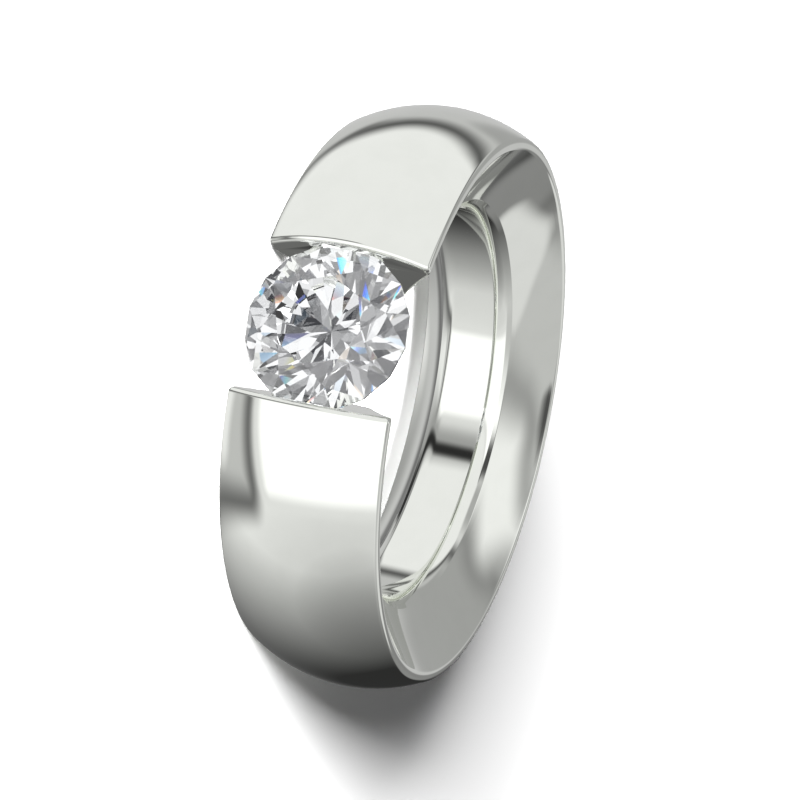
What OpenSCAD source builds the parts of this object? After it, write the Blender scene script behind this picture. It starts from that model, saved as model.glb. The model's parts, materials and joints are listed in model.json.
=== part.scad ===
// Band ring that holds one round brilliant between its two cut ends.
// The ring lies on its side: the finger hole runs along Z and the stone faces -Y.

/* [Band] */
// Inner diameter of the finger hole
hole_d = 16.6; // [15.6:0.1:17.6]
// Width of the band along the finger
band_w = 6.6; // [6.2:0.1:7.2]
// Thickness of the band at the top of its dome
wall_t = 4.05; // [3.95:0.05:4.3]
// Height of the dome over the band's side edges
dome_h = 0.9; // [0.7:0.05:1.1]
// Rounding between the dome and the flat side
edge_round = 0.25; // [0.15:0.05:0.3]

/* [Hollowed inside] */
// Width of the finger hole's wall, measured to the unrounded corners
hole_wall_w = 2.5; // [2.3:0.05:2.7]
// Width of the bevel beside the finger hole's wall
bevel_w = 0.4; // [0.35:0.01:0.45]
// Radial height of the bevel
bevel_h = 0.42; // [0.38:0.01:0.46]
// Radial height of the flat side, measured to the unrounded corners
side_h = 0.35; // [0.33:0.01:0.5]
// How far the middle of the flank is hollowed from a straight line
flank_hollow = 0.15; // [0.05:0.01:0.2]
// Rounding between the finger hole's wall and the bevel
shoulder_round = 0.45; // [0.3:0.05:0.5]
// Rounding between the bevel and the flank
crease_round = 0.3; // [0.2:0.05:0.5]
// Rounding between the flank and the flat side
heel_round = 0.3; // [0.2:0.05:0.35]

/* [Opening between the ends] */
// Half of the angle that is cut out of the band, seen from the ring's axis
gap_half_angle = 14.7; // [14.4:0.1:15]
// Clearance between the stone's girdle and the groove that holds it
seat_gap = 0.04; // [0.02:0.01:0.08]

/* [Stone] */
// Diameter of the stone
stone_d = 6.5; // [6.4:0.05:6.6]
// Height of the girdle's middle over the finger hole's wall
girdle_over_hole = 2.9; // [2.88:0.01:2.95]
// Thickness of the girdle as a share of the diameter
girdle_share = 0.02; // [0.015:0.005:0.03]
// Table width across its corners as a share of the diameter
table_share = 0.54; // [0.5:0.01:0.6]
// Slope of the eight kites of the crown, in degrees from the girdle
crown_angle = 34.5; // [32:0.5:36]
// Slope of the eight long facets of the pavilion, in degrees from the girdle
pavilion_angle = 40.6; // [40:0.2:41]
// How far the star facets reach from the table to the girdle
star_share = 0.55; // [0.45:0.01:0.6]
// How far the lower girdle facets reach from the girdle to the culet
lower_share = 0.77; // [0.7:0.01:0.85]
// Turn of the facets about the stone's own axis
facet_turn = 41.5; // [0:0.5:45]

/* [Hidden] */

HALF_STEP = 22.5;
ARC_STEPS = 8;
DOME_STEPS = 12;
CREASE_STEPS = 3;
FLANK_STEPS = 6;
SMOOTH = 180;

hole_r = hole_d/2;
half_w = band_w/2;
top_r = hole_r + wall_t;
rim_r = top_r - dome_h;

// The dome's circle passes through the top and through both unrounded rims
dome_circle_r = (dome_h*dome_h + half_w*half_w)/(2*dome_h);
dome_centre_r = top_r - dome_circle_r;

// Centre of the rim's rounding, and the angle at which it meets the dome
edge_centre_w = half_w - edge_round;
edge_centre_r = dome_centre_r + sqrt(pow(dome_circle_r - edge_round, 2) - pow(edge_centre_w, 2));
edge_angle = asin(edge_centre_w/(dome_circle_r - edge_round));

// Corners of the section are [radius, distance from the middle of the width]
hole_start = [hole_r, 0];
shoulder_corner = [hole_r, hole_wall_w/2];
crease_corner = shoulder_corner + [bevel_h, bevel_w];
heel_corner = [rim_r - side_h, half_w];
side_end = [edge_centre_r, half_w];

// The flank bends inwards at its middle, and a long arc takes up this share of it
FLANK_ARC_SHARE = 0.8;
flank = heel_corner - crease_corner;
flank_half = norm(flank)/2;
flank_middle = (crease_corner + heel_corner)/2 + [flank[1], -flank[0]]/norm(flank)*flank_hollow;
flank_round = FLANK_ARC_SHARE*flank_half*flank_half/flank_hollow;

stone_r = stone_d/2;
girdle_y = -(hole_r + girdle_over_hole);
half_girdle = stone_d*girdle_share/2;
table_r = stone_r*table_share;
crown_h = (stone_r - table_r)*tan(crown_angle);
pavilion_h = stone_r*tan(pavilion_angle);

// Arc that rounds a corner between two neighbours, as points from one to the other
function rounded(before, corner, after, radius, steps = ARC_STEPS) =
    let (
        u = (before - corner)/norm(before - corner),
        v = (after - corner)/norm(after - corner),
        half_angle = acos(u*v)/2,
        middle = (u + v)/norm(u + v),
        centre = corner + middle*radius/sin(half_angle),
        first = corner + u*radius/tan(half_angle) - centre,
        last = corner + v*radius/tan(half_angle) - centre,
        start = atan2(first[1], first[0]),
        raw = atan2(last[1], last[0]) - start,
        sweep = raw > 180 ? raw - 360 : raw < -180 ? raw + 360 : raw
    )
    [for (i = [0:steps]) let (a = start + sweep*i/steps) centre + radius*[cos(a), sin(a)]];

// One half of the band's section, from the finger hole's wall out to the top of the dome
half_section = concat(
    rounded(hole_start, shoulder_corner, crease_corner, shoulder_round),
    rounded(shoulder_corner, crease_corner, flank_middle, crease_round, CREASE_STEPS),
    rounded(crease_corner, flank_middle, heel_corner, flank_round, FLANK_STEPS),
    rounded(flank_middle, heel_corner, side_end, heel_round),
    [for (i = [0:ARC_STEPS])
        let (a = 90 + (edge_angle - 90)*i/ARC_STEPS)
        [edge_centre_r + edge_round*cos(a), edge_centre_w + edge_round*sin(a)]],
    [for (i = [1:DOME_STEPS])
        let (a = edge_angle*(1 - i/DOME_STEPS))
        [dome_centre_r + dome_circle_r*cos(a), dome_circle_r*sin(a)]]
);

// The other half mirrored, without the shared point at the top of the dome
last_of_half = len(half_section) - 1;
band_section = concat(
    half_section,
    [for (i = [last_of_half - 1:-1:0]) [half_section[i][0], -half_section[i][1]]]
);

// Wedge between the two ends, with its edge on the ring's axis
module end_gap() {
    reach = 2*top_r;
    half_chord = reach*tan(gap_half_angle);
    linear_extrude(height = 2*band_w, center = true)
        polygon([[0, 0], [-half_chord, -reach], [half_chord, -reach]]);
}

// Puts something modelled with its table up where the stone sits, facing -Y
module at_stone() {
    translate([0, girdle_y, 0]) rotate([90, 0, 0]) children();
}

// Ring of the stone's girdle zone grown by the clearance, which cuts a groove in both ends.
// Its sweep starts at the side of the band, where it cuts nothing.
module girdle_seat() {
    half_band = half_girdle + seat_gap;
    outer = stone_r + seat_gap;
    inner = outer/2;
    at_stone() rotate([0, 0, 90]) rotate_extrude($fn = SMOOTH)
        polygon([
            [inner, -half_band - (outer - inner)*tan(pavilion_angle)],
            [outer, -half_band],
            [outer, half_band],
            [inner, half_band + (outer - inner)*tan(crown_angle)]
        ]);
}

module band() {
    color("silver") difference() {
        rotate_extrude($fn = SMOOTH) polygon(band_section);
        end_gap();
        girdle_seat();
    }
}

// Points on a level circle round the stone's own axis
function level(count, radius, height, start) =
    [for (i = [0:count - 1])
        let (a = start + facet_turn + i*360/count)
        [radius*cos(a), radius*sin(a), height]];

// Height of a kite facet, at a point half a step to its side
function crown_height(radius) = half_girdle + (stone_r - radius*cos(HALF_STEP))*tan(crown_angle);
function pavilion_height(radius) = -half_girdle - (stone_r - radius*cos(HALF_STEP))*tan(pavilion_angle);

table_edge_r = table_r*cos(HALF_STEP);
star_r = table_edge_r + star_share*(stone_r - table_edge_r);
lower_r = stone_r*(1 - lower_share);

// Each row of corners starts at its own place in the list of points
TABLE = 0;
STAR = 8;
GIRDLE_TOP = 16;
GIRDLE_LOW = 32;
LOWER = 48;
CULET = 56;

stone_points = concat(
    level(8, table_r, half_girdle + crown_h, 0),
    level(8, star_r, crown_height(star_r), HALF_STEP),
    level(16, stone_r, half_girdle, 0),
    level(16, stone_r, -half_girdle, 0),
    level(8, lower_r, pavilion_height(lower_r), HALF_STEP),
    [[0, 0, -half_girdle - pavilion_h]]
);

// Every facet is listed clockwise as seen from outside
stone_faces = concat(
    [[for (i = [7:-1:0]) TABLE + i]],
    [for (i = [0:7]) [TABLE + i, TABLE + (i + 1)%8, STAR + i]],
    [for (i = [0:7]) [TABLE + i, STAR + i, GIRDLE_TOP + 2*i, STAR + (i + 7)%8]],
    [for (i = [0:7]) [STAR + i, GIRDLE_TOP + 2*i + 1, GIRDLE_TOP + 2*i]],
    [for (i = [0:7]) [STAR + i, GIRDLE_TOP + (2*i + 2)%16, GIRDLE_TOP + 2*i + 1]],
    [for (i = [0:15]) [GIRDLE_TOP + i, GIRDLE_TOP + (i + 1)%16, GIRDLE_LOW + (i + 1)%16, GIRDLE_LOW + i]],
    [for (i = [0:7]) [LOWER + i, GIRDLE_LOW + 2*i, GIRDLE_LOW + 2*i + 1]],
    [for (i = [0:7]) [LOWER + i, GIRDLE_LOW + 2*i + 1, GIRDLE_LOW + (2*i + 2)%16]],
    [for (i = [0:7]) [CULET, LOWER + (i + 7)%8, GIRDLE_LOW + 2*i, LOWER + i]]
);

module stone() {
    color("azure") at_stone() polyhedron(points = stone_points, faces = stone_faces);
}

band();
stone();
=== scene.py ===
"""Cubic zirconia ring: a domed band of polished white metal, cut open at the front round one brilliant."""

import json
import math

import bmesh
import bpy
from bpy.props import FloatProperty, FloatVectorProperty, PointerProperty
from mathutils import Matrix, Vector


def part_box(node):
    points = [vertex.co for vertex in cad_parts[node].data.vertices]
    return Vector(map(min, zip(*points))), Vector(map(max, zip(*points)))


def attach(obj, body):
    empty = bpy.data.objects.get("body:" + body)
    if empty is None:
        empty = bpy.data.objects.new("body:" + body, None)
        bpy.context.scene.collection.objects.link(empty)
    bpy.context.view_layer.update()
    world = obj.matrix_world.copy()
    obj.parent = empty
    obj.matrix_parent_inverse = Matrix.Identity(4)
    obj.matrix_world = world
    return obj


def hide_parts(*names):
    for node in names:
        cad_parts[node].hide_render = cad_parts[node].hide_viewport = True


bl_info = {
    "name": "Cubic Zirconia Ring",
    "version": (1, 0, 0),
    "blender": (4, 5, 0),
    "location": "View3D > Sidebar > Ring",
    "description": "Builds a polished ring that holds a round brilliant between its two ends",
    "category": "Object",
}

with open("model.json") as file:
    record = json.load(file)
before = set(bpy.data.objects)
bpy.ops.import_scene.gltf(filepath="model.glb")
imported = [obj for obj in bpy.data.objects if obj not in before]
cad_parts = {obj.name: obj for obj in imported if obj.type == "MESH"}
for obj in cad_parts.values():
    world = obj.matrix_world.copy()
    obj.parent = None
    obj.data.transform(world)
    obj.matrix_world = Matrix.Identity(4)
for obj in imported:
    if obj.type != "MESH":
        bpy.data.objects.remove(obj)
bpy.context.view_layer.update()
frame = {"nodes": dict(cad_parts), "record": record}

MM = 0.001


def mount_radius(name):
    """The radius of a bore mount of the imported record, in metres."""
    for mount in frame["record"]["mounts"]:
        if mount["name"] == name:
            return mount["dims"]["r_mm"] * MM
    raise ValueError(f"the record has no mount named {name}")


BAND_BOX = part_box("band")
HOLE_R = mount_radius("finger_hole")
TOP_R = BAND_BOX[1].x
HALF_W = BAND_BOX[1].z

# How finely the band is swept and rounded
SHOULDER_STEPS = 14
CREASE_STEPS = 6
FLANK_STEPS = 10
HEEL_STEPS = 10
EDGE_STEPS = 10
DOME_STEPS = 14
END_STEPS = 8
SWEEP_STEPS = 166
SWEEP_SUPPORT = 0.0001
STRAIGHT_SUPPORT = 0.06
END_SUPPORT = 0.01 * MM
SHARP_ANGLE = math.radians(35)

# The camera's sensor is in millimetres, and what it sees lies between these distances in metres
SENSOR_WIDTH = 36.0
CLIP_DISTANCES = (0.001, 10.0)

# A Mix node has its colours at these inputs, and the mixed colour at this output
MIX_FIRST_COLOUR = 6
MIX_SECOND_COLOUR = 7
MIX_COLOUR = 2

BLACK = (0.0, 0.0, 0.0, 1.0)
WHITE = (1.0, 1.0, 1.0, 1.0)

# The polish: how much the roughness varies, and how deep its grain is
METAL_ROUGHNESS_SPREAD = 0.02
STONE_ROUGHNESS_SPREAD = 0.003
GRAIN_STRENGTH = 0.03
GRAIN_DEPTH = 0.002 * MM
GRAIN_PER_METRE = 20000.0
GRAIN_DETAIL = 3.0
POLISH_PATCHES = (0.35, 0.75)
PATCHES_PER_METRE = 900.0
PATCH_DETAIL = 2.0

GROOVE_STEPS = 180
FLOOR_STEPS = 64
FLOOR_ROUGHNESS = 0.9
FLOOR_CLOUDS_PER_METRE = 30.0
FLOOR_CLOUD_SHADE = 0.99
FLOOR_RADII = (0.02, 0.06, 0.2, 0.8, 3.0)
# A painted glow turns the floor into the white backdrop between these distances from the ring, in metres
PAINTED_GLOW_RADII = (0.04, 0.1)

# The flank bends inwards at its middle, and a long arc takes up this share of it
FLANK_ARC_SHARE = 0.8


# The studio that the polished metal and the stone mirror is a curved wall with soft windows and screens.
# Its brightness is 1 for the backdrop's white, and all its places are in degrees.
# The wall stands tilted towards the viewer by this angle
WALL_TILT = 20

# The light from straight below to straight above, in the picture's frame: (latitude, brightness)
HEIGHT_LIGHT = ((-90, 0.5), (-80, 0.52), (-60, 0.77), (-45, 0.85), (-30, 0.95), (0, 1.0), (90, 1.0))

# Round patches in the picture's frame: (name, longitude, latitude, reach, core, brightness).
# They are full as far as the core, and fade out at the reach.
POOLS = (("Dark side of the floor", 168, -32, 76, 16, 0.03),)

# Screens on the wall, each laid over those before it, with a darker border where there is a gap
PANELS = (
    dict(name="Back screen", azimuth=145, elevation=2, turn=-14, lean=0.3, half_width=44,
        half_height=29, corner=24, brightness=0.6, gap=9, gap_brightness=0.12, softness=5),
    dict(name="Left screen", azimuth=-121, elevation=-3, lean=-0.35, half_width=38, half_height=17,
        corner=2, brightness=0.62, gap=9, gap_brightness=0.18, softness=5),
    dict(name="End of the back screen", azimuth=-164, elevation=4, half_width=14, half_height=13,
        corner=4, brightness=0.62, softness=4),
    dict(name="Bright part of the left screen", azimuth=-118, elevation=-3, half_width=20,
        half_height=11, corner=4, brightness=1.0, softness=5),
    dict(name="Right dim screen", azimuth=132, elevation=5, half_width=33, half_height=16,
        corner=6, brightness=0.42, softness=5),
    dict(name="Front light box", azimuth=-1, elevation=0, turn=-4, lean=-0.42, half_width=70,
        half_height=24, corner=3, brightness=1.35, gap=5, gap_brightness=0.9, softness=3),
    dict(name="Shade over the rail", azimuth=-85, elevation=24, turn=27, lean=-0.2, half_width=62,
        half_height=8, corner=8, brightness=0.4, softness=9),
    dict(name="Rail over the front", azimuth=-85, elevation=27, turn=27, lean=-0.2, half_width=65,
        half_height=3, corner=3, brightness=0.03, softness=3),
    dict(name="Low grey screen behind", azimuth=128, elevation=-41, half_width=18, half_height=12,
        corner=8, brightness=0.28, softness=6),
    dict(name="Right low screen", azimuth=84, elevation=-22, turn=-18, half_width=25,
        half_height=19, corner=14, brightness=0.62, softness=5),
    dict(name="Right light box", azimuth=85, elevation=4, turn=-27, lean=-0.15, half_width=12,
        half_height=14, corner=4, brightness=1.05, gap=7, gap_brightness=0.25, softness=7),
    dict(name="Dark post on the right", azimuth=63, elevation=6, lean=0.27, half_width=3,
        half_height=16, corner=3, brightness=0.08, softness=2.5),
    dict(name="Right low card", azimuth=100, elevation=-32, turn=10, lean=0.2, half_width=22,
        half_height=14, corner=12, brightness=0.82, softness=3),
)

# The light that comes through the stone meets a wall of cells between dark and bright, in the picture's frame
CELLS_PER_UNIT = 4.5
CELL_SOFTNESS = 0.06
# The cells' random values, and the share of bright light that they stand for
CELL_SHARES = ((0.0, 0.0), (0.32, 0.02), (0.5, 0.2), (0.68, 0.45), (0.76, 0.92), (1.0, 1.0))
# Light that turns more often than this gets a painted glow of its own colour; the turns are whole numbers
MOST_TURNS = 3.5
# In the stone that painted glow has its own brightness on each facet
PAINTED_FACET_SCALE = 2.6
PAINTED_FACET_SHARES = ((0.0, 0.0), (0.42, 0.04), (0.56, 0.3), (0.7, 0.85), (1.0, 1.0))
STONE_DARK = (0.012, 0.014, 0.022)
STONE_BRIGHT = (1.13, 1.14, 1.15)

# Cards and windows before those cells, given like the round patches
STONE_CARDS = (
    ("Slate card up on the right", 41, 33, 14, 12, 0.08),
    ("Slate card above", 9, 20, 12, 10, 0.2),
    ("Left window", -27, 10, 13, 12, 1.0),
    ("Upper window", -10, 17, 6, 5, 0.95),
    ("Right window", 11, 3, 5, 4, 0.9),
    ("Slate card at the left", -8, 1, 6, 5, 0.14),
    ("Slate card below", -3, -14, 6, 5, 0.24),
    ("Slate card at the right", 25, -8, 8, 7, 0.12),
    ("Grey card low on the right", 26, -26, 9, 8, 0.3),
    ("Small slate card", -22, 28, 5, 4, 0.12),
    ("Low window", -31, -33, 8, 7, 0.9),
    ("Far card on the left", -96, 45, 9, 8, 0.05),
    ("Card up on the left", -33, 50, 6, 5, 0.06),
)


def length_setting(name, description, millimetres):
    """A length that the user can change."""
    return FloatProperty(name=name, description=description, default=millimetres * MM, unit="LENGTH")


def angle_setting(name, description, degrees):
    """An angle that the user can change."""
    return FloatProperty(name=name, description=description, default=math.radians(degrees), subtype="ANGLE")


def colour_setting(name, description, value):
    """A colour that the user can change."""
    return FloatVectorProperty(
        name=name, description=description, default=value, subtype="COLOR", min=0.0, max=1.0
    )


def share_setting(name, description, value):
    """A number from 0 to 1 that the user can change."""
    return FloatProperty(name=name, description=description, default=value, min=0.0, max=1.0)


def place_setting(name, description, value):
    """A place in the scene that the user can change, in metres."""
    return FloatVectorProperty(
        name=name, description=description, default=value, subtype="TRANSLATION", unit="LENGTH"
    )


class RingBandSizes(bpy.types.PropertyGroup):
    """Sizes of the metal band."""

    dome_h: length_setting("Dome Height", "Height of the domed outside over the band's side edges", 0.9)
    edge_round: length_setting("Side Edge Rounding", "Rounding between the dome and the flat side", 0.25)
    hole_wall_w: length_setting(
        "Hole Wall Width", "Width of the finger hole's wall, measured to the unrounded corners", 2.5
    )
    bevel_w: length_setting("Bevel Width", "Width of the bevel beside the finger hole's wall", 0.4)
    bevel_h: length_setting(
        "Bevel Height", "Radial height of the bevel beside the finger hole's wall", 0.42
    )
    side_h: length_setting(
        "Side Height", "Radial height of the flat side, measured to the unrounded corners", 0.35
    )
    flank_hollow: length_setting(
        "Flank Hollow", "How far the middle of the flank is hollowed from a straight line", 0.15
    )
    shoulder_round: length_setting(
        "Shoulder Rounding", "Rounding between the finger hole's wall and the bevel", 0.8
    )
    crease_round: length_setting("Crease Rounding", "Rounding between the bevel and the flank", 0.15)
    heel_round: length_setting("Heel Rounding", "Rounding between the flank and the flat side", 0.3)
    gap_half_angle: angle_setting(
        "Gap Half Angle", "Half of the angle that is cut out of the band for the stone", 14.7
    )
    end_round: length_setting(
        "Cut Edge Rounding", "Rounding of the cut ends along the dome and the side", 0.2
    )
    inner_end_round: length_setting(
        "Inner Cut Edge Rounding", "Rounding of the cut ends along the flank and the finger hole", 0.08
    )
    seat_gap: length_setting(
        "Seat Gap", "Clearance between the stone's girdle and the grooves that hold it", 0.04
    )


class RingStoneSizes(bpy.types.PropertyGroup):
    """Sizes of the stone that the grooves are cut for."""

    diameter: length_setting("Diameter", "Diameter of the stone", 6.5)
    girdle_over_hole: length_setting(
        "Girdle Height", "Height of the girdle's middle over the finger hole's wall", 2.9
    )
    girdle_h: length_setting("Girdle Thickness", "Thickness of the girdle", 0.13)
    crown_angle: angle_setting("Crown Angle", "Slope of the crown's kite facets", 34.5)
    pavilion_angle: angle_setting("Pavilion Angle", "Slope of the pavilion's long facets", 40.6)


class RingFinish(bpy.types.PropertyGroup):
    """Colours and polish."""

    metal_colour: colour_setting(
        "Metal Colour", "Colour that the polished metal gives to what it mirrors", (0.805, 0.82, 0.78)
    )
    metal_deep_colour: colour_setting(
        "Metal Colour in Patches",
        "Slightly deeper colour of the polished metal, in faint patches",
        (0.79, 0.805, 0.765),
    )
    metal_roughness: share_setting(
        "Metal Roughness", "Roughness of the polished metal where it is cleanest", 0.03
    )
    stone_mirror: share_setting(
        "Stone Mirror", "How strongly the stone's facets mirror the studio; 0.5 is the plain amount", 0.12
    )
    # Painted reflection: the grey glow painted where the metal mirrors itself many times
    painted_deep_reflection_colour: colour_setting(
        "Metal Seen Deep in Itself",
        "Light of the spots in which the metal mirrors itself many times",
        (0.4, 0.4, 0.39),
    )
    stone_colour: colour_setting("Stone Colour", "Tint of the clear stone", (1.0, 1.0, 1.0))
    stone_deep_colour: colour_setting(
        "Stone Colour in Patches", "Second tint of the clear stone, in faint patches", (0.985, 0.99, 1.0)
    )
    stone_ior: FloatProperty(
        name="Stone Refraction",
        description="Index of refraction of the stone",
        default=2.16,
        min=1.0,
        max=3.0,
    )
    # Painted light: the brightest glow painted on facets where light turns many times
    painted_trapped_light_colour: colour_setting(
        "Colour of Trapped Light",
        "Brightest light of the facets in which it turns many times before it leaves",
        (0.98, 0.99, 1.0),
    )
    stone_fire: angle_setting(
        "Stone Fire", "Angle by which red and blue light leave the stone apart", 0.4
    )


class RingStudio(bpy.types.PropertyGroup):
    """Camera and light."""

    camera_place: place_setting(
        "Camera Place",
        "Where the camera stands, seen from the middle of the finger hole",
        (16.302 * MM, -89.586 * MM, 30.358 * MM),
    )
    camera_target: place_setting(
        "Camera Target", "Point that the middle of the picture shows", (0.150 * MM, 0.0, -0.279 * MM)
    )
    camera_roll: angle_setting(
        "Camera Roll", "Turn of the picture from the ring's own axis lying level across it", -11.3505
    )
    focal_length: FloatProperty(
        name="Focal Length",
        description="Focal length on a sensor 36 mm wide, in millimetres",
        default=102.25,
    )
    backdrop_colour: colour_setting(
        "Backdrop Colour", "Colour of the studio behind the floor", (1.0, 1.0, 1.0)
    )
    floor_colour: colour_setting("Floor Colour", "Colour of the pale floor", (0.93, 0.93, 0.93))
    ambient: FloatProperty(
        name="Even Light",
        description="Even light that reaches the floor from all round",
        default=0.06,
        min=0.0,
    )
    key_place: place_setting("Key Lamp Place", "Where the large soft lamp stands", (-0.065, -0.38, 0.09))
    key_size: length_setting("Key Lamp Size", "Side of the large soft lamp", 110)
    key_power: FloatProperty(
        name="Key Lamp Power",
        description="Power of the large soft lamp",
        default=10.5,
        unit="POWER",
    )
    hole_lamp_place: place_setting(
        "Hole Lamp Place",
        "Where the small lamp stands that lights the floor inside the finger hole",
        (0.0, 0.0, 0.005),
    )
    hole_lamp_size: length_setting("Hole Lamp Size", "Side of the small lamp over the finger hole", 12)
    hole_lamp_power: FloatProperty(
        name="Hole Lamp Power",
        description="Power of the small lamp over the finger hole",
        default=0.006,
        unit="POWER",
    )
    hole_lamp_spread: angle_setting(
        "Hole Lamp Spread", "How wide the small lamp over the finger hole shines", 70
    )


def arc_points(before, corner, after, radius, steps):
    """Rounds the corner between two neighbours: pairs of a point and the normal that leaves the metal."""
    u = (before - corner).normalized()
    v = (after - corner).normalized()
    half_angle = u.angle(v) / 2
    middle = (u + v).normalized()
    centre = corner + middle * radius / math.sin(half_angle)
    first = corner + u * radius / math.tan(half_angle) - centre
    last = corner + v * radius / math.tan(half_angle) - centre
    start = math.atan2(first.y, first.x)
    sweep = math.atan2(last.y, last.x) - start
    if sweep > math.pi:
        sweep -= 2 * math.pi
    if sweep < -math.pi:
        sweep += 2 * math.pi
    side = 1 if sweep < 0 else -1
    made = []
    for i in range(steps + 1):
        a = start + sweep * i / steps
        out = Vector((math.cos(a), math.sin(a)))
        made.append((centre + out * radius, out * side))
    return made


def straight_supports(a, b):
    """Two points just inside a straight stretch, so that smooth shading stays flat along it."""
    shares = (STRAIGHT_SUPPORT, 1 - STRAIGHT_SUPPORT)
    return [(a[0].lerp(b[0], share), a[1].copy()) for share in shares]


def half_section(sizes):
    """The band's section from the finger hole's wall out to the dome: (point, normal, cut edge rounding)."""
    rim_r = TOP_R - sizes.dome_h
    circle_r = (sizes.dome_h**2 + HALF_W**2) / (2 * sizes.dome_h)
    circle_centre = TOP_R - circle_r
    edge_w = HALF_W - sizes.edge_round
    inner_circle_r = circle_r - sizes.edge_round
    edge_r = circle_centre + math.sqrt(inner_circle_r**2 - edge_w**2)
    edge_angle = math.asin(edge_w / inner_circle_r)

    hole_start = Vector((HOLE_R, 0))
    shoulder = Vector((HOLE_R, sizes.hole_wall_w / 2))
    crease = shoulder + Vector((sizes.bevel_h, sizes.bevel_w))
    heel = Vector((rim_r - sizes.side_h, HALF_W))
    side_end = Vector((edge_r, HALF_W))
    flank = heel - crease
    flank_half = flank.length / 2
    into_metal = Vector((flank.y, -flank.x)).normalized()
    flank_middle = (crease + heel) / 2 + into_metal * sizes.flank_hollow
    flank_round = FLANK_ARC_SHARE * flank_half**2 / sizes.flank_hollow

    shoulder_arc = arc_points(hole_start, shoulder, crease, sizes.shoulder_round, SHOULDER_STEPS)
    crease_arc = arc_points(shoulder, crease, flank_middle, sizes.crease_round, CREASE_STEPS)
    flank_arc = arc_points(crease, flank_middle, heel, flank_round, FLANK_STEPS)
    heel_arc = arc_points(flank_middle, heel, side_end, sizes.heel_round, HEEL_STEPS)
    edge_arc = circle_points(edge_r, edge_w, sizes.edge_round, math.pi / 2, edge_angle, EDGE_STEPS)
    dome_arc = circle_points(circle_centre, 0, circle_r, edge_angle, 0, DOME_STEPS)[1:]

    inner = shoulder_arc + straight_supports(shoulder_arc[-1], crease_arc[0])
    inner += crease_arc + straight_supports(crease_arc[-1], flank_arc[0])
    inner += flank_arc + straight_supports(flank_arc[-1], heel_arc[0])
    outer = straight_supports(heel_arc[-1], edge_arc[0]) + edge_arc + dome_arc
    small = sizes.inner_end_round
    large = sizes.end_round
    made = [(point, normal, small) for point, normal in inner]
    for i, (point, normal) in enumerate(heel_arc):
        made.append((point, normal, small + (large - small) * i / HEEL_STEPS))
    made += [(point, normal, large) for point, normal in outer]
    return made


def circle_points(centre_r, centre_w, radius, start, end, steps):
    """Points and outward normals along an arc from one angle to another."""
    made = []
    for i in range(steps + 1):
        a = start + (end - start) * i / steps
        out = Vector((math.cos(a), math.sin(a)))
        made.append((Vector((centre_r, centre_w)) + out * radius, out))
    return made


def full_section(sizes):
    """The closed section: one half, its mirror image, and the finger hole's wall between them."""
    upper = half_section(sizes)
    lower = [
        (Vector((point.x, -point.y)), Vector((normal.x, -normal.y)), rounding)
        for point, normal, rounding in reversed(upper[:-1])
    ]
    wall = straight_supports(lower[-1][:2], upper[0][:2])
    return upper + lower + [(point, normal, sizes.inner_end_round) for point, normal in wall]


def end_stations():
    """Rings that round one cut end, from its face outwards: (share of inset, share of distance, extra)."""
    made = [(1.0, 0.0, END_SUPPORT)]
    for k in range(END_STEPS + 1):
        angle = math.pi / 2 * (1 - k / END_STEPS)
        made.append((1 - math.cos(angle), 1 - math.sin(angle), 0.0))
    return made


def station_rows(section, sizes):
    """Rows of points across the band, from one cut face round to the other."""
    start = -math.pi / 2 + sizes.gap_half_angle
    end = 3 * math.pi / 2 - sizes.gap_half_angle
    rows = []
    for inset, distance, extra in end_stations():
        rows.append([end_point(item, inset, distance, extra, start, 1) for item in section])
    shares = [SWEEP_SUPPORT] + [i / SWEEP_STEPS for i in range(1, SWEEP_STEPS)] + [1 - SWEEP_SUPPORT]
    for share in shares:
        rows.append([swept_point(item, share, start, end) for item in section])
    for inset, distance, extra in reversed(end_stations()):
        rows.append([end_point(item, inset, distance, extra, end, -1) for item in section])
    return rows


def end_point(item, inset, distance, extra, cut_angle, side):
    """A point on the rounding of a cut end. side says which way round the metal lies."""
    point, normal, rounding = item
    moved = point - normal * (rounding * inset + extra)
    angle = cut_angle + side * math.asin(rounding * distance / moved.x)
    return Vector((moved.x * math.cos(angle), moved.x * math.sin(angle), moved.y))


def swept_point(item, share, start, end):
    """A point on the band's turned surface, between the roundings of the two cut ends."""
    point, _, rounding = item
    short = math.asin(rounding / point.x)
    angle = start + short + (end - start - 2 * short) * share
    return Vector((point.x * math.cos(angle), point.x * math.sin(angle), point.y))


def join_rows(bm, first, second):
    """Fills the strip between two closed rows of corners."""
    count = len(first)
    for i in range(count):
        following = (i + 1) % count
        bm.faces.new((first[i], second[i], second[following], first[following]))


def finished_mesh(bm, name):
    """Turns the faces outwards and stores them as a mesh of this name."""
    bmesh.ops.recalc_face_normals(bm, faces=bm.faces)
    mesh = bpy.data.meshes.new(name)
    bm.to_mesh(mesh)
    bm.free()
    return mesh


def band_mesh(sizes):
    """The whole band as one closed mesh, before the grooves are cut."""
    bm = bmesh.new()
    rows = [[bm.verts.new(point) for point in row] for row in station_rows(full_section(sizes), sizes)]
    for lower, upper in zip(rows, rows[1:]):
        join_rows(bm, lower, upper)
    bm.faces.new(rows[0])
    bm.faces.new(reversed(rows[-1]))
    return finished_mesh(bm, "band_polished")


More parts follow.
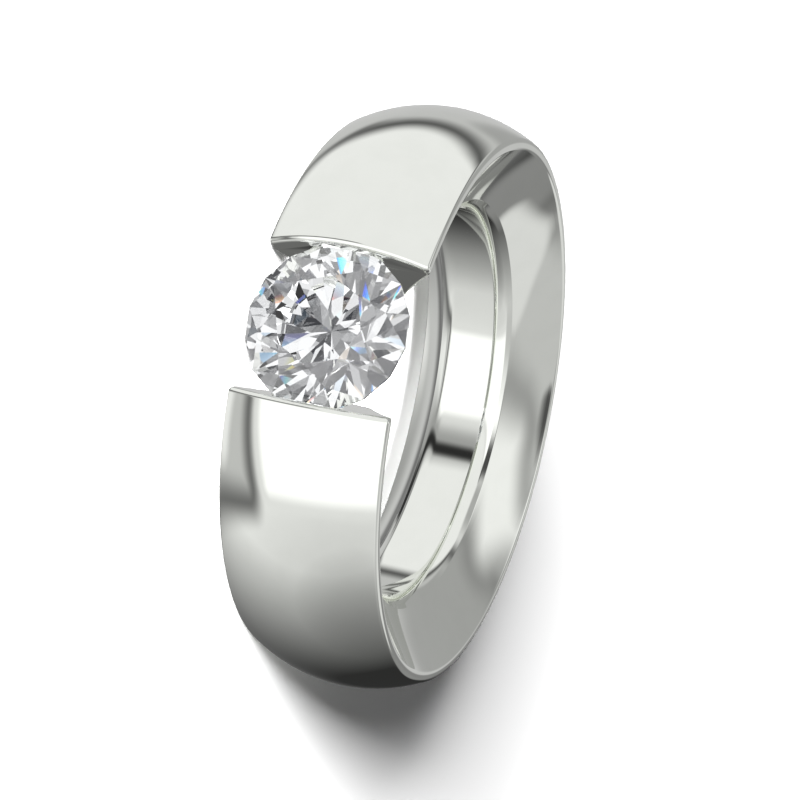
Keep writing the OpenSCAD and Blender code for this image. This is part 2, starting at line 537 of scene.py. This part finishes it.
def groove_cutter(stone, seat_gap):
    """A closed ring round the stone's girdle, grown by the clearance, that cuts the grooves in both ends."""
    girdle_y = -(HOLE_R + stone.girdle_over_hole)
    half_band = stone.girdle_h / 2 + seat_gap
    outer = stone.diameter / 2 + seat_gap
    inner = outer / 2
    slope_in = outer - inner
    outline = (
        (inner, -half_band - slope_in * math.tan(stone.pavilion_angle)),
        (outer, -half_band),
        (outer, half_band),
        (inner, half_band + slope_in * math.tan(stone.crown_angle)),
    )
    bm = bmesh.new()
    rows = []
    for i in range(GROOVE_STEPS):
        a = 2 * math.pi * i / GROOVE_STEPS
        row = [(r * math.cos(a), girdle_y - out, r * math.sin(a)) for r, out in outline]
        rows.append([bm.verts.new(point) for point in row])
    for i, row in enumerate(rows):
        following = rows[(i + 1) % GROOVE_STEPS]
        for k in range(len(outline)):
            after = (k + 1) % len(outline)
            bm.faces.new((row[k], row[after], following[after], following[k]))
    return bpy.data.objects.new("groove_cutter", finished_mesh(bm, "groove_cutter"))


def cut_grooves(band, stone, seat_gap):
    """Cuts the girdle's grooves into the two ends of the band."""
    cutter = groove_cutter(stone, seat_gap)
    bpy.context.scene.collection.objects.link(cutter)
    groove = band.modifiers.new("Girdle Grooves", "BOOLEAN")
    groove.object = cutter
    groove.operation = "DIFFERENCE"
    groove.solver = "EXACT"
    depsgraph = bpy.context.evaluated_depsgraph_get()
    cut = bpy.data.meshes.new_from_object(band.evaluated_get(depsgraph))
    whole = band.data
    band.modifiers.clear()
    band.data = cut
    bpy.data.meshes.remove(whole)
    cutter_mesh = cutter.data
    bpy.data.objects.remove(cutter)
    bpy.data.meshes.remove(cutter_mesh)


def add_node(tree, kind, **settings):
    """A node of this kind with its own settings."""
    node = tree.nodes.new(kind)
    for name, value in settings.items():
        setattr(node, name, value)
    return node


def math_node(tree, operation, first, second=None):
    """A Math node fed by sockets or plain numbers; gives its output socket."""
    node = add_node(tree, "ShaderNodeMath", operation=operation)
    feed(tree, node.inputs[0], first)
    if second is not None:
        feed(tree, node.inputs[1], second)
    return node.outputs[0]


def feed(tree, socket, source):
    """Links a socket, or sets its plain value."""
    if isinstance(source, bpy.types.NodeSocket):
        tree.links.new(source, socket)
    else:
        socket.default_value = source


def dot_product(tree, first, second):
    """The dot product of two vectors."""
    node = add_node(tree, "ShaderNodeVectorMath", operation="DOT_PRODUCT")
    feed(tree, node.inputs[0], first)
    feed(tree, node.inputs[1], second)
    return node.outputs["Value"]


def soft_step(tree, value, low, high):
    """Rises smoothly from 0 at low to 1 at high."""
    node = add_node(tree, "ShaderNodeMapRange", interpolation_type="SMOOTHSTEP")
    feed(tree, node.inputs["Value"], value)
    feed(tree, node.inputs["From Min"], low)
    feed(tree, node.inputs["From Max"], high)
    return node.outputs["Result"]


def blend_value(tree, share, first, second):
    """Mixes two numbers by a share."""
    node = add_node(tree, "ShaderNodeMix", data_type="FLOAT")
    feed(tree, node.inputs["Factor"], share)
    feed(tree, node.inputs["A"], first)
    feed(tree, node.inputs["B"], second)
    return node.outputs["Result"]


def blend_colour(tree, share, first, second):
    """Mixes two colours by a share."""
    node = add_node(tree, "ShaderNodeMix", data_type="RGBA")
    feed(tree, node.inputs[0], share)
    feed(tree, node.inputs[MIX_FIRST_COLOUR], first)
    feed(tree, node.inputs[MIX_SECOND_COLOUR], second)
    return node.outputs[MIX_COLOUR]


def blend_shader(tree, share, first, second):
    """Mixes two shaders by a share."""
    node = add_node(tree, "ShaderNodeMixShader")
    tree.links.new(share, node.inputs[0])
    tree.links.new(first, node.inputs[1])
    tree.links.new(second, node.inputs[2])
    return node.outputs["Shader"]


def fill_ramp(ramp, stops):
    """Sets a grey ramp's stops from pairs of place and brightness."""
    while len(ramp.elements) < len(stops):
        ramp.elements.new(1.0)
    for element, (position, brightness) in zip(ramp.elements, stops):
        element.position = position
        element.color = (brightness, brightness, brightness, 1.0)


def cell_light(tree, cells, stops):
    """The brightness of each cell of a pattern, from the cell's own random value."""
    parts = add_node(tree, "ShaderNodeSeparateColor")
    tree.links.new(cells.outputs["Color"], parts.inputs["Color"])
    light = add_node(tree, "ShaderNodeValToRGB")
    tree.links.new(parts.outputs[0], light.inputs["Fac"])
    fill_ramp(light.color_ramp, stops)
    return light.outputs["Color"]


def group_socket(group, name, direction, kind, default=None):
    """A named socket of a node group."""
    socket = group.interface.new_socket(name=name, in_out=direction, socket_type=kind)
    if default is not None:
        socket.default_value = default
    return socket


def add_panel_sockets(group):
    """What a panel is given, and the light that it gives back."""
    group_socket(group, "Light", "INPUT", "NodeSocketFloat", 1.0)
    for name in ("Direction", "Across", "Upward", "Facing"):
        group_socket(group, name, "INPUT", "NodeSocketVector")
    for name, default in (
        ("Elevation", 0.0),
        ("Lean", 0.0),
        ("Straight Half Width", 20.0),
        ("Straight Half Height", 20.0),
        ("Corner", 4.0),
        ("Brightness", 1.0),
        ("Gap", 0.0),
        ("Gap Brightness", 0.3),
        ("Softness", 4.0),
    ):
        group_socket(group, name, "INPUT", "NodeSocketFloat", default)
    group_socket(group, "Light", "OUTPUT", "NodeSocketFloat")


def depth_in_panel(group, given):
    """How far inside the rounded screen's edge a direction lies, in degrees; below 0 it lies outside."""
    direction = given["Direction"]
    upward = dot_product(group, direction, given["Upward"])
    rise = math_node(group, "DEGREES", math_node(group, "ARCSINE", upward))
    y = math_node(group, "SUBTRACT", rise, given["Elevation"])
    across = dot_product(group, direction, given["Across"])
    depth = dot_product(group, direction, given["Facing"])
    round_wall = math_node(group, "DEGREES", math_node(group, "ARCTAN2", across, depth))
    x = math_node(group, "SUBTRACT", round_wall, math_node(group, "MULTIPLY", given["Lean"], y))
    over_x = math_node(group, "SUBTRACT", math_node(group, "ABSOLUTE", x), given["Straight Half Width"])
    over_y = math_node(group, "SUBTRACT", math_node(group, "ABSOLUTE", y), given["Straight Half Height"])
    corner = add_node(group, "ShaderNodeCombineXYZ")
    group.links.new(math_node(group, "MAXIMUM", over_x, 0.0), corner.inputs[0])
    group.links.new(math_node(group, "MAXIMUM", over_y, 0.0), corner.inputs[1])
    beyond = add_node(group, "ShaderNodeVectorMath", operation="LENGTH")
    group.links.new(corner.outputs[0], beyond.inputs[0])
    within = math_node(group, "MINIMUM", math_node(group, "MAXIMUM", over_x, over_y), 0.0)
    outside = math_node(group, "ADD", beyond.outputs["Value"], within)
    return math_node(group, "SUBTRACT", given["Corner"], outside)


def studio_panel_group():
    """Node group: one soft rounded screen on the studio's curved wall, with a darker border round it."""
    found = bpy.data.node_groups.get("StudioPanel")
    if found:
        return found
    group = bpy.data.node_groups.new("StudioPanel", "ShaderNodeTree")
    add_panel_sockets(group)
    given = add_node(group, "NodeGroupInput").outputs
    inside = depth_in_panel(group, given)
    soft = given["Softness"]
    minus_soft = math_node(group, "MULTIPLY", soft, -1.0)
    gap_low = math_node(group, "SUBTRACT", minus_soft, given["Gap"])
    gap_high = math_node(group, "SUBTRACT", soft, given["Gap"])
    bordered = soft_step(group, inside, gap_low, gap_high)
    behind = blend_value(group, bordered, given["Light"], given["Gap Brightness"])
    light = blend_value(group, soft_step(group, inside, minus_soft, soft), behind, given["Brightness"])
    out = add_node(group, "NodeGroupOutput")
    group.links.new(light, out.inputs["Light"])
    return group


def studio_pool_group():
    """Node group: a round patch of light or dark that fades into what is round it."""
    found = bpy.data.node_groups.get("StudioPool")
    if found:
        return found
    group = bpy.data.node_groups.new("StudioPool", "ShaderNodeTree")
    group_socket(group, "Light", "INPUT", "NodeSocketFloat", 1.0)
    for name in ("Direction", "Facing"):
        group_socket(group, name, "INPUT", "NodeSocketVector")
    for name, default in (("Rim Cosine", 0.5), ("Core Cosine", 0.9), ("Brightness", 0.1)):
        group_socket(group, name, "INPUT", "NodeSocketFloat", default)
    group_socket(group, "Light", "OUTPUT", "NodeSocketFloat")
    given = add_node(group, "NodeGroupInput").outputs
    fade = add_node(group, "ShaderNodeMapRange", interpolation_type="LINEAR")
    group.links.new(dot_product(group, given["Direction"], given["Facing"]), fade.inputs["Value"])
    group.links.new(given["Rim Cosine"], fade.inputs["From Min"])
    group.links.new(given["Core Cosine"], fade.inputs["From Max"])
    light = blend_value(group, fade.outputs["Result"], given["Light"], given["Brightness"])
    out = add_node(group, "NodeGroupOutput")
    group.links.new(light, out.inputs["Light"])
    return group


def picture_axes(studio):
    """Picture right, picture up and towards the viewer, for the camera's own place."""
    place = Vector(studio.camera_place)
    forward = (Vector(studio.camera_target) - place).normalized()
    level_right = Vector((0, 0, 1))
    level_right = (level_right - forward * level_right.dot(forward)).normalized()
    level_down = forward.cross(level_right)
    cosine = math.cos(studio.camera_roll)
    sine = math.sin(studio.camera_roll)
    right = level_right * cosine + level_down * sine
    up = level_right * sine - level_down * cosine
    return right, up, -forward


def studio_direction(axes, longitude, latitude):
    """A direction named by degrees round from the viewer to the right, and degrees up."""
    lon = math.radians(longitude)
    lat = math.radians(latitude)
    right, up, viewer = axes
    level = right * math.sin(lon) + viewer * math.cos(lon)
    return level * math.cos(lat) + up * math.sin(lat)


def wall_axes(axes):
    """The curved wall's own right, up and towards the viewer: the picture's, tilted."""
    right, up, viewer = axes
    tilt = math.radians(WALL_TILT)
    return right, up * math.cos(tilt) + viewer * math.sin(tilt), viewer * math.cos(tilt) - up * math.sin(tilt)


def panel_axes(axes, panel):
    """The panel's own across, upward and facing directions on the curved wall."""
    right, up, viewer = wall_axes(axes)
    azimuth = math.radians(panel["azimuth"])
    turn = math.radians(panel.get("turn", 0))
    facing = right * math.sin(azimuth) + viewer * math.cos(azimuth)
    across = right * math.cos(azimuth) - viewer * math.sin(azimuth)
    turned_across = across * math.cos(turn) + up * math.sin(turn)
    turned_upward = up * math.cos(turn) - across * math.sin(turn)
    return turned_across, turned_upward, facing


def place_panel(tree, light, direction, axes, panel):
    """Lays one panel over the studio's light and gives the new light."""
    node = add_node(tree, "ShaderNodeGroup", node_tree=studio_panel_group(), label=panel["name"])
    tree.links.new(light, node.inputs["Light"])
    tree.links.new(direction, node.inputs["Direction"])
    for name, vector in zip(("Across", "Upward", "Facing"), panel_axes(axes, panel)):
        node.inputs[name].default_value = vector
    node.inputs["Elevation"].default_value = panel["elevation"]
    node.inputs["Lean"].default_value = panel.get("lean", 0.0)
    node.inputs["Straight Half Width"].default_value = panel["half_width"] - panel["corner"]
    node.inputs["Straight Half Height"].default_value = panel["half_height"] - panel["corner"]
    node.inputs["Corner"].default_value = panel["corner"]
    node.inputs["Brightness"].default_value = panel["brightness"]
    node.inputs["Gap"].default_value = panel.get("gap", 0.0)
    node.inputs["Gap Brightness"].default_value = panel.get("gap_brightness", panel["brightness"])
    node.inputs["Softness"].default_value = panel["softness"]
    return node.outputs["Light"]


def place_pool(tree, light, direction, axes, pool):
    """Lays one soft round patch over the light and gives the new light."""
    name, longitude, latitude, reach, core, brightness = pool
    node = add_node(tree, "ShaderNodeGroup", node_tree=studio_pool_group(), label=name)
    tree.links.new(light, node.inputs["Light"])
    tree.links.new(direction, node.inputs["Direction"])
    node.inputs["Facing"].default_value = studio_direction(axes, longitude, latitude)
    node.inputs["Rim Cosine"].default_value = math.cos(math.radians(reach))
    node.inputs["Core Cosine"].default_value = math.cos(math.radians(core))
    node.inputs["Brightness"].default_value = brightness
    return node.outputs["Light"]


def stone_room_group(axes):
    """Node group: how bright the light is that comes through the stone, from dark (0) to bright (1)."""
    found = bpy.data.node_groups.get("StoneRoom")
    if found:
        return found
    group = bpy.data.node_groups.new("StoneRoom", "ShaderNodeTree")
    group_socket(group, "Direction", "INPUT", "NodeSocketVector")
    group_socket(group, "Light", "OUTPUT", "NodeSocketFloat")
    direction = add_node(group, "NodeGroupInput").outputs["Direction"]
    cells = add_node(group, "ShaderNodeTexVoronoi", feature="SMOOTH_F1")
    cells.inputs["Scale"].default_value = CELLS_PER_UNIT
    cells.inputs["Smoothness"].default_value = CELL_SOFTNESS
    group.links.new(direction, cells.inputs["Vector"])
    value = cell_light(group, cells, CELL_SHARES)
    for card in STONE_CARDS:
        value = place_pool(group, value, direction, axes, card)
    out = add_node(group, "NodeGroupOutput")
    group.links.new(value, out.inputs["Light"])
    return group


def stone_surroundings(tree, direction, axes, fire):
    """The light that comes through the stone; red and blue see it turned apart, which colours the edges."""
    colour = add_node(tree, "ShaderNodeCombineColor")
    turns = (-fire / 2, 0.0, fire / 2)
    for i, turn in enumerate(turns):
        turned = add_node(tree, "ShaderNodeVectorRotate", rotation_type="AXIS_ANGLE")
        turned.inputs["Axis"].default_value = axes[1] + axes[0]
        turned.inputs["Angle"].default_value = turn
        tree.links.new(direction, turned.inputs["Vector"])
        room = add_node(tree, "ShaderNodeGroup", node_tree=stone_room_group(axes))
        tree.links.new(turned.outputs["Vector"], room.inputs["Direction"])
        light = blend_value(tree, room.outputs["Light"], STONE_DARK[i], STONE_BRIGHT[i])
        tree.links.new(light, colour.inputs[i])
    return colour.outputs["Color"]


def mirrored_light(tree, direction, axes):
    """The light that the metal mirrors: floor to ceiling, then the pools, then the panels over them."""
    height = dot_product(tree, direction, axes[1])
    light = add_node(tree, "ShaderNodeValToRGB", label="Floor to ceiling")
    tree.links.new(math_node(tree, "ADD", math_node(tree, "MULTIPLY", height, 0.5), 0.5), light.inputs["Fac"])
    stops = [(math.sin(math.radians(lat)) / 2 + 0.5, level) for lat, level in HEIGHT_LIGHT]
    fill_ramp(light.color_ramp, stops)
    value = light.outputs["Color"]
    for pool in POOLS:
        value = place_pool(tree, value, direction, axes, pool)
    for panel in PANELS:
        value = place_panel(tree, value, direction, axes, panel)
    return value


def studio_world(studio, fire):
    """The surroundings: pale to the camera, even to the floor, screens to what shines, cells to the stone."""
    world = bpy.data.worlds.new("Ring Studio")
    world.use_nodes = True
    tree = world.node_tree
    tree.nodes.clear()
    axes = picture_axes(studio)
    direction = add_node(tree, "ShaderNodeTexCoord").outputs["Generated"]
    shine = add_node(tree, "ShaderNodeBackground", label="What shines sees")
    tree.links.new(mirrored_light(tree, direction, axes), shine.inputs["Color"])
    backdrop = add_node(tree, "ShaderNodeBackground", label="Backdrop")
    backdrop.inputs["Color"].default_value = (*studio.backdrop_colour, 1.0)
    soft = add_node(tree, "ShaderNodeBackground", label="Even light for the floor")
    soft.inputs["Strength"].default_value = studio.ambient
    through = add_node(tree, "ShaderNodeBackground", label="What comes through the stone")
    tree.links.new(stone_surroundings(tree, direction, axes, fire), through.inputs["Color"])
    seen = shine.outputs["Background"]
    path = add_node(tree, "ShaderNodeLightPath").outputs
    for rays, light in (("Transmission", through), ("Diffuse", soft), ("Camera", backdrop)):
        seen = blend_shader(tree, path[f"Is {rays} Ray"], seen, light.outputs["Background"])
    out = add_node(tree, "ShaderNodeOutputWorld")
    tree.links.new(seen, out.inputs["Surface"])
    bpy.context.scene.world = world


def polish_group():
    """Node group: the faint unevenness that a hand polish leaves, as a tint, a roughness and a height."""
    found = bpy.data.node_groups.get("HandPolish")
    if found:
        return found
    group = bpy.data.node_groups.new("HandPolish", "ShaderNodeTree")
    group_socket(group, "Colour", "INPUT", "NodeSocketColor", (0.8, 0.8, 0.8, 1.0))
    group_socket(group, "Deep Colour", "INPUT", "NodeSocketColor", (0.7, 0.7, 0.7, 1.0))
    group_socket(group, "Roughness", "INPUT", "NodeSocketFloat", 0.03)
    group_socket(group, "Roughness Spread", "INPUT", "NodeSocketFloat", 0.02)
    group_socket(group, "Patches Per Metre", "INPUT", "NodeSocketFloat", PATCHES_PER_METRE)
    group_socket(group, "Grain Per Metre", "INPUT", "NodeSocketFloat", GRAIN_PER_METRE)
    group_socket(group, "Colour", "OUTPUT", "NodeSocketColor")
    group_socket(group, "Roughness", "OUTPUT", "NodeSocketFloat")
    group_socket(group, "Height", "OUTPUT", "NodeSocketFloat")
    given = add_node(group, "NodeGroupInput").outputs
    place = add_node(group, "ShaderNodeTexCoord").outputs["Object"]
    patches = add_node(group, "ShaderNodeTexNoise")
    patches.inputs["Detail"].default_value = PATCH_DETAIL
    group.links.new(place, patches.inputs["Vector"])
    group.links.new(given["Patches Per Metre"], patches.inputs["Scale"])
    grain = add_node(group, "ShaderNodeTexNoise")
    grain.inputs["Detail"].default_value = GRAIN_DETAIL
    group.links.new(place, grain.inputs["Vector"])
    group.links.new(given["Grain Per Metre"], grain.inputs["Scale"])
    in_patch = soft_step(group, patches.outputs["Fac"], *POLISH_PATCHES)
    tint = blend_colour(group, in_patch, given["Colour"], given["Deep Colour"])
    worn = math_node(group, "MULTIPLY", grain.outputs["Fac"], given["Roughness Spread"])
    out = add_node(group, "NodeGroupOutput")
    group.links.new(tint, out.inputs["Colour"])
    group.links.new(math_node(group, "ADD", given["Roughness"], worn), out.inputs["Roughness"])
    group.links.new(grain.outputs["Fac"], out.inputs["Height"])
    return group


def new_material(name):
    """An empty node material with its output."""
    material = bpy.data.materials.new(name)
    material.use_nodes = True
    material.node_tree.nodes.clear()
    out = add_node(material.node_tree, "ShaderNodeOutputMaterial")
    return material, material.node_tree, out


def add_polish(tree, surface, colours, roughness, spread):
    """Gives a surface the two tints and the roughness of a hand polish."""
    polish = add_node(tree, "ShaderNodeGroup", node_tree=polish_group())
    for name, colour in zip(("Colour", "Deep Colour"), colours):
        polish.inputs[name].default_value = (*colour, 1.0)
    polish.inputs["Roughness"].default_value = roughness
    polish.inputs["Roughness Spread"].default_value = spread
    tree.links.new(polish.outputs["Colour"], surface.inputs["Base Color"])
    tree.links.new(polish.outputs["Roughness"], surface.inputs["Roughness"])
    return polish


def painted_deep_glow(tree, surface, colour):
    """Paints a glow of this colour, in place of black, on light that has turned many times between mirrors: a
    painted reflection.
    """
    path = add_node(tree, "ShaderNodeLightPath")
    many_turns = math_node(tree, "GREATER_THAN", path.outputs["Glossy Depth"], MOST_TURNS)
    painted_glow = blend_colour(tree, many_turns, BLACK, colour)
    tree.links.new(painted_glow, surface.inputs["Emission Color"])
    surface.inputs["Emission Strength"].default_value = 1.0


def polished_metal(finish):
    """Mirror-polished white metal, with a painted grey glow where it mirrors itself many times."""
    material, tree, out = new_material("Polished White Metal")
    surface = add_node(tree, "ShaderNodeBsdfPrincipled")
    surface.inputs["Metallic"].default_value = 1.0
    colours = (finish.metal_colour, finish.metal_deep_colour)
    polish = add_polish(tree, surface, colours, finish.metal_roughness, METAL_ROUGHNESS_SPREAD)
    bump = add_node(tree, "ShaderNodeBump")
    bump.inputs["Strength"].default_value = GRAIN_STRENGTH
    bump.inputs["Distance"].default_value = GRAIN_DEPTH
    tree.links.new(polish.outputs["Height"], bump.inputs["Height"])
    tree.links.new(bump.outputs["Normal"], surface.inputs["Normal"])
    # Painted reflection: a grey glow instead of black where the metal mirrors itself many times
    painted_deep_glow(tree, surface, (*finish.painted_deep_reflection_colour, 1.0))
    tree.links.new(surface.outputs["BSDF"], out.inputs["Surface"])
    return material


def painted_facet_glow(tree, brightest):
    """A painted glow colour between black and the brightest one, of its own for each facet."""
    facing = add_node(tree, "ShaderNodeNewGeometry").outputs["True Normal"]
    cells = add_node(tree, "ShaderNodeTexVoronoi")
    cells.inputs["Scale"].default_value = PAINTED_FACET_SCALE
    tree.links.new(facing, cells.inputs["Vector"])
    return blend_colour(tree, cell_light(tree, cells, PAINTED_FACET_SHARES), BLACK, (*brightest, 1.0))


def cut_stone(finish):
    """Clear stone with polished facets, and a painted glow on light that turns many times in it."""
    material, tree, out = new_material("Clear Cut Stone")
    surface = add_node(tree, "ShaderNodeBsdfPrincipled")
    surface.inputs["Metallic"].default_value = 0.0
    surface.inputs["Transmission Weight"].default_value = 1.0
    surface.inputs["IOR"].default_value = finish.stone_ior
    surface.inputs["Specular IOR Level"].default_value = finish.stone_mirror
    # Painted light: light trapped in the stone glows, with its own brightness on each facet
    painted_deep_glow(tree, surface, painted_facet_glow(tree, finish.painted_trapped_light_colour))
    add_polish(tree, surface, (finish.stone_colour, finish.stone_deep_colour), 0.0, STONE_ROUGHNESS_SPREAD)
    tree.links.new(surface.outputs["BSDF"], out.inputs["Surface"])
    return material


def pale_floor_material(studio):
    """Matt pale floor with a trace of unevenness, and a painted glow that brightens it away from the ring."""
    material, tree, out = new_material("Pale Floor")
    surface = add_node(tree, "ShaderNodeBsdfPrincipled")
    surface.inputs["Roughness"].default_value = FLOOR_ROUGHNESS
    surface.inputs["Specular IOR Level"].default_value = 0.0
    place = add_node(tree, "ShaderNodeTexCoord").outputs["Object"]
    clouds = add_node(tree, "ShaderNodeTexNoise")
    clouds.inputs["Scale"].default_value = FLOOR_CLOUDS_PER_METRE
    tree.links.new(place, clouds.inputs["Vector"])
    plain = (*studio.floor_colour, 1.0)
    shaded = (*(value * FLOOR_CLOUD_SHADE for value in studio.floor_colour), 1.0)
    tint = blend_colour(tree, clouds.outputs["Fac"], plain, shaded)
    tree.links.new(tint, surface.inputs["Base Color"])
    # Painted light: the floor glows, from nothing near the ring to the backdrop's white far from it
    distance = add_node(tree, "ShaderNodeVectorMath", operation="LENGTH")
    tree.links.new(place, distance.inputs[0])
    painted_floor_glow = blend_colour(tree, soft_step(tree, distance.outputs["Value"], *PAINTED_GLOW_RADII), BLACK, WHITE)
    tree.links.new(painted_floor_glow, surface.inputs["Emission Color"])
    surface.inputs["Emission Strength"].default_value = 1.0
    tree.links.new(surface.outputs["BSDF"], out.inputs["Surface"])
    return material


def floor_mesh():
    """A large round sheet just under the ring, fine in the middle."""
    bm = bmesh.new()
    rings = []
    for radius in FLOOR_RADII:
        row = []
        for i in range(FLOOR_STEPS):
            a = 2 * math.pi * i / FLOOR_STEPS
            row.append(bm.verts.new((radius * math.cos(a), radius * math.sin(a), -HALF_W)))
        rings.append(row)
    bm.faces.new(rings[0])
    for inner, outer in zip(rings, rings[1:]):
        join_rows(bm, inner, outer)
    return finished_mesh(bm, "pale_floor")


def add_camera(studio):
    """The camera, at the picture's own angle."""
    data = bpy.data.cameras.new("ring_camera")
    data.sensor_fit = "HORIZONTAL"
    data.sensor_width = SENSOR_WIDTH
    data.lens = studio.focal_length
    data.clip_start, data.clip_end = CLIP_DISTANCES
    camera = bpy.data.objects.new("ring_camera", data)
    right, up, viewer = picture_axes(studio)
    turn = Matrix((right, up, viewer)).transposed().to_4x4()
    camera.matrix_world = Matrix.Translation(Vector(studio.camera_place)) @ turn
    bpy.context.scene.collection.objects.link(camera)
    bpy.context.scene.camera = camera


def add_soft_lamp(name, place, size, watts):
    """A square area lamp that faces the ring and isn't mirrored in it."""
    data = bpy.data.lights.new(name, "AREA")
    data.shape = "SQUARE"
    data.size = size
    data.energy = watts
    lamp = bpy.data.objects.new(name, data)
    lamp.location = place
    lamp.rotation_euler = (-Vector(place)).to_track_quat("-Z", "Y").to_euler()
    lamp.visible_glossy = False
    lamp.visible_transmission = False
    lamp.visible_camera = False
    bpy.context.scene.collection.objects.link(lamp)
    return lamp


class RING_OT_band(bpy.types.Operator):
    """Builds the polished band and puts it in place of its solid"""

    bl_idname = "ring.band"
    bl_label = "Polished Band"

    def execute(self, context):
        scene = context.scene
        sizes = scene.ring_band
        band = bpy.data.objects.new("band_polished", band_mesh(sizes))
        scene.collection.objects.link(band)
        cut_grooves(band, scene.ring_stone, sizes.seat_gap)
        band.data.name = "band_polished"
        band.data.shade_smooth()
        band.data.set_sharp_from_angle(angle=SHARP_ANGLE)
        band.data.materials.clear()
        band.data.materials.append(polished_metal(scene.ring_finish))
        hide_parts("band")
        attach(band, "root")
        return {"FINISHED"}


class RING_OT_stone(bpy.types.Operator):
    """Gives the cut stone its clear, polished material"""

    bl_idname = "ring.stone"
    bl_label = "Cut Stone"

    def execute(self, context):
        stone = frame["nodes"]["stone"]
        material = cut_stone(context.scene.ring_finish)
        for slot in stone.material_slots:
            slot.material = material
        return {"FINISHED"}


class RING_OT_studio(bpy.types.Operator):
    """Adds the camera, the pale floor, the lamps and the surroundings"""

    bl_idname = "ring.studio"
    bl_label = "Studio"

    def execute(self, context):
        scene = context.scene
        studio = scene.ring_studio
        add_camera(studio)
        floor = bpy.data.objects.new("pale_floor", floor_mesh())
        floor.data.materials.append(pale_floor_material(studio))
        floor.visible_glossy = False
        floor.visible_transmission = False
        scene.collection.objects.link(floor)
        add_soft_lamp("key_lamp", studio.key_place, studio.key_size, studio.key_power)
        hole_lamp = add_soft_lamp(
            "hole_lamp", studio.hole_lamp_place, studio.hole_lamp_size, studio.hole_lamp_power
        )
        hole_lamp.data.spread = studio.hole_lamp_spread
        studio_world(studio, scene.ring_finish.stone_fire)
        scene.view_settings.view_transform = "Standard"
        return {"FINISHED"}


class RING_PT_panel(bpy.types.Panel):
    """Lists the pieces of the ring"""

    bl_idname = "RING_PT_panel"
    bl_label = "Cubic Zirconia Ring"
    bl_space_type = "VIEW_3D"
    bl_region_type = "UI"
    bl_category = "Ring"

    def draw(self, context):
        layout = self.layout
        for operator in OPERATORS:
            layout.operator(operator.bl_idname)
        for name in SETTINGS:
            settings = getattr(context.scene, name)
            box = layout.box()
            for prop in settings.bl_rna.properties:
                if prop.identifier not in ("rna_type", "name"):
                    box.prop(settings, prop.identifier)


OPERATORS = (RING_OT_band, RING_OT_stone, RING_OT_studio)
SETTINGS = {
    "ring_band": RingBandSizes,
    "ring_stone": RingStoneSizes,
    "ring_finish": RingFinish,
    "ring_studio": RingStudio,
}


def register():
    """Registers the settings, operators and panel."""
    for name, settings in SETTINGS.items():
        bpy.utils.register_class(settings)
        setattr(bpy.types.Scene, name, PointerProperty(type=settings))
    for cls in (*OPERATORS, RING_PT_panel):
        bpy.utils.register_class(cls)


def unregister():
    """Takes everything out again."""
    for cls in (RING_PT_panel, *reversed(OPERATORS)):
        bpy.utils.unregister_class(cls)
    for name, settings in reversed(SETTINGS.items()):
        delattr(bpy.types.Scene, name)
        bpy.utils.unregister_class(settings)


def main():
    """Builds the whole scene."""
    register()
    bpy.ops.ring.studio()
    bpy.ops.ring.band()
    bpy.ops.ring.stone()


if __name__ == "__main__":
    main()
